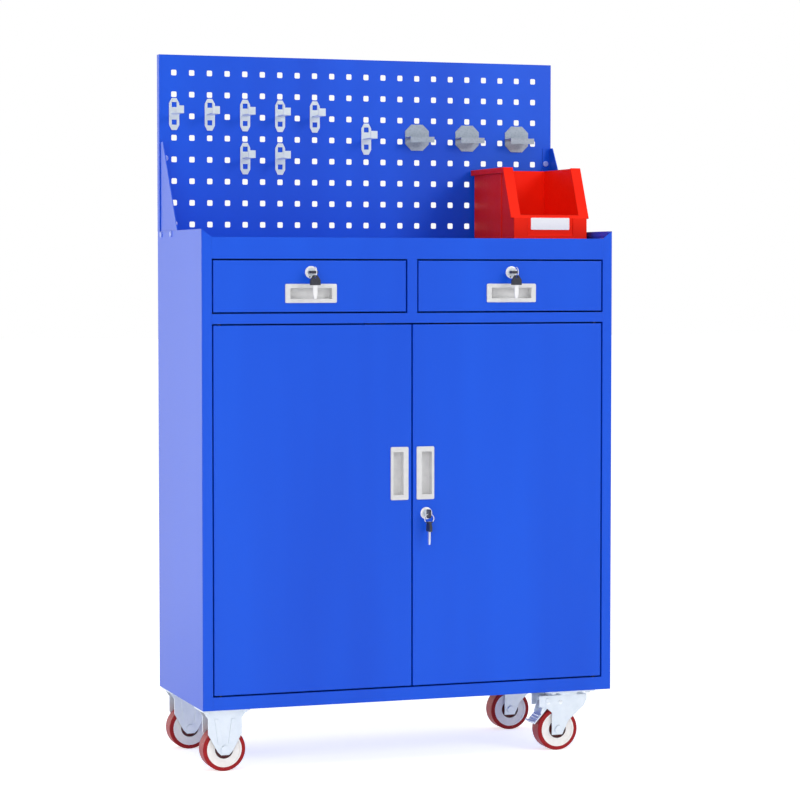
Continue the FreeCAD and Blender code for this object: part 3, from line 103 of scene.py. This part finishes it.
class Surface(Nodes):
    """A material under construction, with its shader and object coordinates."""

    def __init__(self, name):
        self.mat = bpy.data.materials.new(name)
        self.mat.use_nodes = True
        super().__init__(self.mat.node_tree)
        self.shader = self.tree.nodes["Principled BSDF"]
        self.coords = self.add("ShaderNodeTexCoord").outputs["Object"]

    def set(self, **values):
        """Values for the shader's own sockets."""
        self.fill(self.shader, **values)

    def noise(self, scale, detail=2.0, stretch=(1, 1, 1)):
        mapping = self.add("ShaderNodeMapping")
        self.fill(mapping, Vector=self.coords, Scale=stretch)
        texture = self.add("ShaderNodeTexNoise")
        self.fill(texture, Vector=mapping.outputs["Vector"], Scale=scale, Detail=detail)
        return texture.outputs["Fac"]

    def spread(self, fac, low, high, start=0.3, end=0.7):
        """A number between low and high that follows fac from start to end."""
        node = self.add("ShaderNodeMapRange")
        self.fill(node, Value=fac, From_Min=start, From_Max=end, To_Min=low, To_Max=high)
        return node.outputs["Result"]

    def above(self, value, edge, soft):
        """0 well below an edge and 1 well above it."""
        return self.spread(value, 0.0, 1.0, edge - soft, edge + soft)

    def below(self, value, edge, soft):
        """1 well below an edge and 0 well above it."""
        return self.math("SUBTRACT", 1.0, self.above(value, edge, soft))

    def mix(self, fac, first, second):
        node = self.add("ShaderNodeMix", data_type="RGBA")
        self.put(node.inputs[MIX_FACTOR], fac)
        self.put(node.inputs[MIX_FIRST], first)
        self.put(node.inputs[MIX_SECOND], second)
        return node.outputs[MIX_RESULT]

    def tones(self, fac, first, second, start=0.3, end=0.7):
        """A colour between two that follows fac from start to end."""
        return self.mix(self.spread(fac, 0, 1, start, end), linear(*first), linear(*second))

    def rough(self, scale, low, high, detail=2.0):
        """Roughness between two values, in patches."""
        return self.spread(self.noise(scale, detail), low, high)

    def axes(self):
        node = self.add("ShaderNodeSeparateXYZ")
        self.put(node.inputs[0], self.coords)
        return node.outputs

    def from_line(self, x0, z0):
        """Distance from a line along Y."""
        x, _, z = self.axes()
        dx = self.math("SUBTRACT", x, x0)
        dz = self.math("SUBTRACT", z, z0)
        squares = self.math("ADD", self.math("MULTIPLY", dx, dx), self.math("MULTIPLY", dz, dz))
        return self.math("SQRT", squares)

    def soft_edges(self, radius):
        """Rounds the shading over the edges, as coating and folding do."""
        node = self.add("ShaderNodeBevel", samples=4)
        self.fill(node, Radius=radius)
        self.set(Normal=node.outputs["Normal"])

    def bump(self, height, strength, distance):
        """Relief on top of what already shapes the normal."""
        node = self.add("ShaderNodeBump")
        self.fill(node, Strength=strength, Distance=distance, Height=height)
        earlier = self.shader.inputs["Normal"].links
        if earlier:
            self.fill(node, Normal=earlier[0].from_socket)
        self.set(Normal=node.outputs["Normal"])


# Materials
def blue_paint():
    """Powder coat: a fine orange peel, faint streaks along the sheet and tiny flecks."""
    s = Surface("blue_paint")
    streaks = s.tones(s.noise(2.4, stretch=(3.2, 1.0, 0.35)), (0, 76, 212), (3, 85, 224))
    fleck = s.spread(s.noise(1500, detail=1.0), 0, 0.08, start=0.62, end=0.8)
    s.set(Base_Color=s.mix(fleck, streaks, linear(36, 106, 240)), Roughness=s.rough(600, 0.34, 0.40),
          IOR=1.5, Specular_IOR_Level=0.32)
    s.soft_edges(1.0 * MM)
    s.bump(s.noise(700, detail=1.5), strength=0.06, distance=0.2 * MM)
    return s.mat


def zinc():
    """Bright zinc: a soft mottled plating with fine drawn lines."""
    s = Surface("zinc_steel")
    s.set(Base_Color=s.tones(s.noise(90), *ZINC_TONES), Metallic=0.5, Roughness=s.rough(240, 0.30, 0.38))
    s.soft_edges(0.7 * MM)
    s.bump(s.noise(900, stretch=(1, 1, 0.08)), strength=0.02, distance=0.1 * MM)
    return s.mat


def bolt_zinc_and_painted_highlight(split):
    """Zinc on the bolts below a height, and on those above it a blue coat painted pale as a painted highlight
    on the heads.
    """
    s = Surface("bolt_zinc_and_painted_highlight")
    coated = s.above(s.axes()[2], split, soft=10 * MM)
    mottle = s.noise(90)
    plating = s.tones(mottle, *ZINC_TONES)
    # Painted highlight: the upper bolts' blue coat is painted pale lavender, lighter than the blue paint, for
    # the light on their heads.
    coat_with_painted_highlight = s.tones(mottle, (140, 160, 238), (152, 172, 244))
    s.set(Base_Color=s.mix(coated, plating, coat_with_painted_highlight), Metallic=s.spread(coated, 0.5, 0.0, start=0, end=1),
          Roughness=s.rough(240, 0.32, 0.42))
    s.soft_edges(0.7 * MM)
    s.bump(s.noise(900), strength=0.04, distance=0.1 * MM)
    return s.mat


def galvanised():
    """Duller galvanised sheet with a faint spangle."""
    s = Surface("galvanised")
    spangle = s.add("ShaderNodeTexVoronoi")
    s.fill(spangle, Vector=s.coords, Scale=260)
    colour = s.tones(spangle.outputs["Distance"], (150, 161, 175), (162, 173, 186), start=0.1, end=0.7)
    s.set(Base_Color=colour, Metallic=0.5, Roughness=s.rough(240, 0.34, 0.48))
    s.bump(s.noise(900), strength=0.06, distance=0.2 * MM)
    return s.mat


def gap_shade_steel():
    """Steel of the hinge pins, coloured near-black navy as painted shade of the door gap they show through."""
    s = Surface("gap_shade_steel")
    s.set(Base_Color=s.tones(s.noise(400), (14, 18, 34), (26, 30, 48)), Roughness=s.rough(600, 0.45, 0.6))
    s.bump(s.noise(1500), strength=0.08, distance=0.1 * MM)
    return s.mat


def chrome(dots, radius):
    """Polished lock face with a small dark index dot at each of some x and z places."""
    s = Surface("chrome_face")
    face = s.tones(s.noise(300), (246, 246, 247), (253, 253, 253))
    dark = s.most(*[s.below(s.from_line(x, z), radius, soft=0.25 * MM) for x, z in dots])
    s.set(Base_Color=s.mix(dark, face, linear(52, 48, 70)), Metallic=0.15, Roughness=s.rough(420, 0.16, 0.28))
    s.soft_edges(0.5 * MM)
    s.bump(s.noise(1200, detail=1.0), strength=0.05, distance=0.1 * MM)
    return s.mat


def pull_plastic():
    """Pale grey moulding with a fine spark-eroded grain."""
    s = Surface("pull_plastic")
    s.set(Base_Color=s.tones(s.noise(90), (213, 213, 214), (222, 222, 222)), Roughness=s.rough(700, 0.42, 0.58))
    s.soft_edges(1.2 * MM)
    s.bump(s.noise(2600), strength=0.12, distance=0.15 * MM)
    return s.mat


def key_finish(s, head, tones, steel, rough):
    """Dark moulding where head is 1, and plated steel where it is 0."""
    moulding = s.tones(s.noise(800), *tones)
    s.set(Base_Color=s.mix(head, linear(*steel), moulding), Metallic=s.spread(head, 0.4, 0.0, start=0, end=1),
          Roughness=s.rough(500, *rough))
    s.soft_edges(0.7 * MM)
    s.bump(s.noise(2200), strength=0.10, distance=0.1 * MM)
    return s.mat


def spare_key_plastic(name, low, high):
    """A spare key: dark head between two heights, plated blade and ring."""
    s = Surface(name)
    z = s.axes()[2]
    head = s.math("MULTIPLY", s.above(z, low, soft=0.1 * MM), s.below(z, high, soft=0.1 * MM))
    return key_finish(s, head, ((34, 36, 46), (52, 55, 66)), (244, 244, 246), (0.30, 0.48))


def lock_key_plastic(front):
    """The key in a lock: dark head in front of a plated stem."""
    s = Surface("key_plastic")
    head = s.below(s.axes()[1], front, soft=0.1 * MM)
    return key_finish(s, head, ((36, 36, 50), (58, 56, 74)), (240, 240, 243), (0.32, 0.5))


def catch_plastic():
    """Dark matte moulding."""
    s = Surface("catch_plastic")
    s.set(Base_Color=s.tones(s.noise(500), (30, 30, 32), (48, 48, 50)), Roughness=s.rough(900, 0.5, 0.65))
    s.bump(s.noise(2000), strength=0.15, distance=0.1 * MM)
    return s.mat


def bin_plastic():
    """Red moulding with flow clouds and a fine texture."""
    s = Surface("bin_plastic")
    clouds = s.tones(s.noise(14, detail=3.0), (247, 28, 2), (253, 36, 8))
    s.set(Base_Color=clouds, Roughness=s.rough(260, 0.40, 0.52), Specular_IOR_Level=0.12)
    s.soft_edges(1.6 * MM)
    s.bump(s.noise(1800), strength=0.08, distance=0.12 * MM)
    return s.mat


def card():
    """Blank paper card."""
    s = Surface("label_card")
    fibre = s.noise(1400, detail=3.0, stretch=(1, 1, 0.5))
    s.set(Base_Color=s.tones(fibre, (250, 250, 249), (255, 255, 254)), Roughness=0.6)
    s.bump(fibre, strength=0.12, distance=0.1 * MM)
    return s.mat


def tyre():
    """Cast red polyurethane with faint scuffs."""
    s = Surface("tyre_red")
    scuffs = s.tones(s.noise(120, detail=4.0), (150, 6, 14), (166, 14, 22), start=0.35, end=0.75)
    s.set(Base_Color=scuffs, Roughness=s.rough(420, 0.34, 0.52, detail=3.0), Specular_IOR_Level=0.3)
    s.bump(s.noise(1500), strength=0.12, distance=0.2 * MM)
    return s.mat


def wheel_core(name, x0, z0, hub_radius):
    """Cream moulding with faint turned rings; in the middle, the red of the hub is darkened with painted shade
    of its recess.
    """
    s = Surface(name)
    away = s.from_line(x0, z0)
    # Painted shade: inside the hub radius the colour is dark maroon, the hub's red darkened for the shade of
    # its recess.
    shaded_hub = s.below(away, hub_radius, soft=0.15 * MM)
    cream = s.tones(s.noise(160), (244, 240, 236), (250, 248, 245))
    hub_red_with_painted_shade = s.tones(s.noise(260), (84, 12, 20), (104, 18, 26))
    s.set(Base_Color=s.mix(shaded_hub, cream, hub_red_with_painted_shade), Roughness=s.rough(600, 0.30, 0.42))
    ring_pitch = 0.9 * MM
    rings = s.math("SINE", s.math("MULTIPLY", away, 2 * math.pi / ring_pitch))
    s.bump(rings, strength=0.05, distance=0.08 * MM)
    s.bump(s.noise(1900), strength=0.08, distance=0.1 * MM)
    return s.mat


# Materials on the CAD nodes
def paint(names, mat):
    """Gives CAD nodes a material."""
    for name in names:
        mesh = nodes[name].data
        mesh.materials.clear()
        mesh.materials.append(mat)


def slot_nodes(slot):
    """Names of the CAD nodes in one of the record's material slots."""
    return [sub["node"] for sub in frame["record"]["subparts"] if sub["material_slot"] == slot]


def middle(node):
    """Middle of a CAD node's box."""
    low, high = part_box(node)
    return (Vector(low) + Vector(high)) / 2


FRONT_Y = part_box("front_frame")[0][1]
LOCK_PROUD = 2.6 * MM
KEY_STEM = 5.0 * MM
DOT_LEFT = 2.6 * MM
DOT_DOWN = 8.0 * MM
DOT_RADIUS = 1.25 * MM
SPARE_HEAD_HEIGHT = 17.0 * MM
SPARE_HEAD_DROP = {"left_drawer": 5.0 * MM, "right_drawer": 5.0 * MM, "door": 13.4 * MM}
HUB_RADIUS = 16.1 * MM
COATED_BOLTS_ABOVE = 500 * MM

locks = {owner: middle(owner + "_lock_barrel") for owner in SPARE_HEAD_DROP}
dots = [(mid.x - DOT_LEFT, mid.z - DOT_DOWN) for mid in locks.values()]

paint(slot_nodes("blue_paint"), blue_paint())
paint(slot_nodes("zinc_steel"), zinc())
paint(["bolts"], bolt_zinc_and_painted_highlight(COATED_BOLTS_ABOVE))
paint(["plier_holders"], galvanised())
# Painted shade: the hinge pins are coloured dark so they read as the shade of the door gap.
paint(["door_hinge_pins"], gap_shade_steel())
paint(slot_nodes("chrome_face"), chrome(dots, DOT_RADIUS))
paint(slot_nodes("pull_plastic"), pull_plastic())
paint(slot_nodes("catch_plastic"), catch_plastic())
paint(slot_nodes("bin_plastic"), bin_plastic())
paint(slot_nodes("tyre_red"), tyre())
paint([owner + "_key" for owner in locks], lock_key_plastic(FRONT_Y - LOCK_PROUD - KEY_STEM))
for owner, mid in locks.items():
    spare = owner + "_spare_key"
    head_top = mid.z - SPARE_HEAD_DROP[owner]
    paint([spare], spare_key_plastic("key_plastic_" + spare, head_top - SPARE_HEAD_HEIGHT, head_top))
for corner in ("front_left", "rear_left", "front_right", "rear_right"):
    mid = middle(corner + "_wheel")
    paint([corner + "_wheel"], wheel_core("wheel_cream_" + corner, mid.x, mid.z, HUB_RADIUS))


# Pieces
def piece(name, bm, mat, body, smooth=True):
    """A finished mesh that rides on a body."""
    mesh = bpy.data.meshes.new(name)
    bm.to_mesh(mesh)
    bm.free()
    for face in mesh.polygons:
        face.use_smooth = smooth
    mesh.materials.append(mat)
    obj = bpy.data.objects.new(name, mesh)
    bpy.context.collection.objects.link(obj)
    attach(obj, body)


def skin(rings):
    """A closed mesh over rings of points, each ring with the same count."""
    bm = bmesh.new()
    loops = [[bm.verts.new(point) for point in ring] for ring in rings]
    for below, above in zip(loops, loops[1:]):
        for i in range(len(below)):
            j = (i + 1) % len(below)
            bm.faces.new((below[i], below[j], above[j], above[i]))
    bm.faces.new(reversed(loops[0]))
    bm.faces.new(loops[-1])
    bmesh.ops.recalc_face_normals(bm, faces=bm.faces)
    return bm


def rounded_outline(half_u, half_v, radius, steps=6):
    """Points round a rounded rectangle, in order."""
    points = []
    for k in range(4):
        cu = (half_u - radius) * (1 if k in (0, 3) else -1)
        cv = (half_v - radius) * (1 if k in (0, 1) else -1)
        for i in range(steps + 1):
            a = math.radians(90 * k + 90 * i / steps)
            points.append((cu + radius * math.cos(a), cv + radius * math.sin(a)))
    return points


def plate(outline, place, thick, edge):
    """A thin upright card facing -Y with its front edge rounded over; place is the middle of its back."""
    knee = 0.3 * edge
    rings = []
    for depth, inset in ((0, 0), (thick - edge, 0), (thick - knee, knee), (thick, edge)):
        ring = []
        for u, v in outline:
            shrink = 1 - inset / math.hypot(u, v)
            ring.append((place[0] + u * shrink, place[1] - depth, place[2] + v * shrink))
        rings.append(ring)
    return skin(rings)


def lathe(profile, place, way, segments=40):
    """A round piece from (radius, height) points about a line through place along way."""
    turn = Vector((0, 0, 1)).rotation_difference(Vector(way)).to_matrix()
    angles = [2 * math.pi * i / segments for i in range(segments)]
    rings = []
    for radius, height in profile:
        flat = [Vector((radius * math.cos(a), radius * math.sin(a), height)) for a in angles]
        rings.append([Vector(place) + turn @ point for point in flat])
    return skin(rings)


# Blank label card in the recess of the bin's lip
CARD_HALF_WIDTH = 37.0 * MM
CARD_HALF_HEIGHT = 10.6 * MM
CARD_CORNER = 1.8 * MM
CARD_THICK = 0.6 * MM
CARD_EDGE = 0.25 * MM
LIP_RECESS = 2.0 * MM
LIP_HEIGHT = 60 * MM
CARD_UNDER_LIP = 10.4 * MM

bin_low, bin_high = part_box("parts_bin")
card_place = ((bin_low[0] + bin_high[0]) / 2, bin_low[1] + LIP_RECESS, bin_low[2] + LIP_HEIGHT - CARD_UNDER_LIP)
card_outline = rounded_outline(CARD_HALF_WIDTH, CARD_HALF_HEIGHT, CARD_CORNER)
card_mesh = plate(card_outline, card_place, CARD_THICK, CARD_EDGE)
piece("label_card", card_mesh, card(), "bin", False)

# Rivets that hold the brake's guide in the front swivel fork
RIVET_FROM_WHEEL = 19.7 * MM
RIVET_Z = 86.5 * MM
RIVETS_ALONG = (-19.8 * MM, 3.5 * MM)
DOME_IN_MM = ((4.0, 0), (3.8, 0.5), (3.1, 1.0), (1.9, 1.35), (0.4, 1.45))

zinc_steel = bpy.data.materials["zinc_steel"]
wheel_mid = middle("front_right_wheel")
dome = [(radius * MM, height * MM) for radius, height in DOME_IN_MM]
for label, way in (("front", -1), ("rear", 1)):
    for number, along in enumerate(RIVETS_ALONG):
        place = (wheel_mid.x + along, wheel_mid.y + way * RIVET_FROM_WHEEL, RIVET_Z)
        rivet = lathe(dome, place, (0, way, 0))
        piece("fork_rivet_%s_%d" % (label, number + 1), rivet, zinc_steel, "front_swivel")

# Tread ribs across the brake pedal, which slopes down off the wheel's rim
PEDAL_SLOPE = math.radians(48)
PEDAL_OFF_WHEEL = 5.2 * MM
RIB_RADIUS = 1.5 * MM
RIB_INSET = 2.6 * MM
RIB_FIRST = 4.5
RIB_PITCH = 5.6
RIB_END = ((0.3, 0), (0.75, 0.3), (1.0, 1.0))

pedal_low, pedal_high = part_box("brake_pedal")
rib_half = (pedal_high[1] - pedal_low[1]) / 2 - RIB_INSET
wheel_radius = wheel_mid.z
down = Vector((-math.cos(PEDAL_SLOPE), 0, -math.sin(PEDAL_SLOPE)))
outward = Vector((-math.sin(PEDAL_SLOPE), 0, math.cos(PEDAL_SLOPE)))
pedal_mid = wheel_mid + outward * (wheel_radius + PEDAL_OFF_WHEEL)
near_end = [(share * RIB_RADIUS, rise * RIB_RADIUS) for share, rise in RIB_END]
far_end = [(radius, 2 * rib_half - rise) for radius, rise in reversed(near_end)]
for number in range(3):
    place = pedal_mid + down * ((RIB_FIRST + RIB_PITCH * number) * MM) - Vector((0, rib_half, 0))
    rib = lathe(near_end + far_end, place, (0, 1, 0), 24)
    piece("pedal_rib_%d" % (number + 1), rib, zinc_steel, "brake")

# Studio
FLOOR_HALF = 30
FLOOR_COLOUR = (0.92, 0.92, 0.92, 1)
FLOOR_GLOW = 0.6
WORLD_LIGHT = 0.55

# Name, place, aim, size and power of each lamp
LAMPS = (
    ("key_lamp", (2.4, -3.6, 2.7), (0, 0, 0.7), 1.6, 55),
    ("fill_lamp", (-2.4, -3.6, 1.8), (0, 0, 0.6), 2.6, 30),
    ("side_lamp", (-2.9, 2.7, 0.7), (-0.375, 0, 0.6), 2.6, 60),
    ("top_lamp", (0.0, -0.6, 3.6), (0, 0, 0.9), 2.0, 18),
    ("low_lamp", (-0.9, -3.2, 0.35), (0, 0, 0.12), 1.2, 10),
)

CAMERA_PLACE = (-1.5322, -4.4415, 0.8436)
CAMERA_BELOW_LEVEL = 2.6866
CAMERA_TURN = -19.3098
CAMERA_LENS = 119.33
CAMERA_SENSOR = 36


def studio_floor():
    """Pale floor that keeps the shadow and glows a little for the camera and for reflections."""
    bm = bmesh.new()
    bmesh.ops.create_grid(bm, x_segments=1, y_segments=1, size=FLOOR_HALF)
    mesh = bpy.data.meshes.new("studio_floor")
    bm.to_mesh(mesh)
    bm.free()
    floor = bpy.data.objects.new("studio_floor", mesh)
    bpy.context.collection.objects.link(floor)
    mat = bpy.data.materials.new("studio_floor")
    mat.use_nodes = True
    n = Nodes(mat.node_tree)
    path = n.add("ShaderNodeLightPath").outputs
    seen = n.most(path["Is Camera Ray"], path["Is Glossy Ray"])
    n.fill(n.tree.nodes["Principled BSDF"], Base_Color=FLOOR_COLOUR, Roughness=0.9, Specular_IOR_Level=0.1,
           Emission_Color=WHITE, Emission_Strength=n.math("MULTIPLY", seen, FLOOR_GLOW))
    mesh.materials.append(mat)


def studio_world():
    """Even light, and a surround that is white to the camera and dim towards the front in reflections."""
    world = bpy.data.worlds.new("studio")
    bpy.context.scene.world = world
    world.use_nodes = True
    n = Nodes(world.node_tree)
    light = n.tree.nodes["Background"]
    n.fill(light, Color=WHITE, Strength=WORLD_LIGHT)
    split = n.add("ShaderNodeSeparateXYZ")
    n.put(split.inputs[0], n.add("ShaderNodeTexCoord").outputs["Generated"])
    dim = n.add("ShaderNodeMapRange", interpolation_type="SMOOTHSTEP")
    n.fill(dim, Value=split.outputs["Y"], From_Min=-0.85, From_Max=0.1, To_Min=0.12, To_Max=1.0)
    path = n.add("ShaderNodeLightPath").outputs
    surround = n.add("ShaderNodeBackground")
    n.fill(surround, Color=WHITE, Strength=n.most(dim.outputs["Result"], path["Is Camera Ray"]))
    seen = n.most(path["Is Camera Ray"], path["Is Glossy Ray"], path["Is Transmission Ray"])
    both = n.add("ShaderNodeMixShader")
    for socket, value in zip(both.inputs, (seen, light.outputs[0], surround.outputs[0])):
        n.put(socket, value)
    n.fill(n.tree.nodes["World Output"], Surface=both.outputs[0])


def lamp(name, place, aim, size, power):
    """A soft square lamp."""
    data = bpy.data.lights.new(name, "AREA")
    data.shape = "SQUARE"
    data.size = size
    data.energy = power
    obj = bpy.data.objects.new(name, data)
    bpy.context.collection.objects.link(obj)
    obj.location = place
    obj.rotation_euler = (Vector(aim) - Vector(place)).to_track_quat("-Z", "Y").to_euler()


studio_floor()
studio_world()
for settings in LAMPS:
    lamp(*settings)

camera = bpy.data.objects.new("camera", bpy.data.cameras.new("camera"))
bpy.context.collection.objects.link(camera)
camera.location = CAMERA_PLACE
camera.rotation_euler = (math.radians(90 - CAMERA_BELOW_LEVEL), 0, math.radians(CAMERA_TURN))
camera.data.sensor_width = CAMERA_SENSOR
camera.data.lens = CAMERA_LENS
bpy.context.scene.camera = camera
bpy.context.scene.view_settings.view_transform = "Standard"
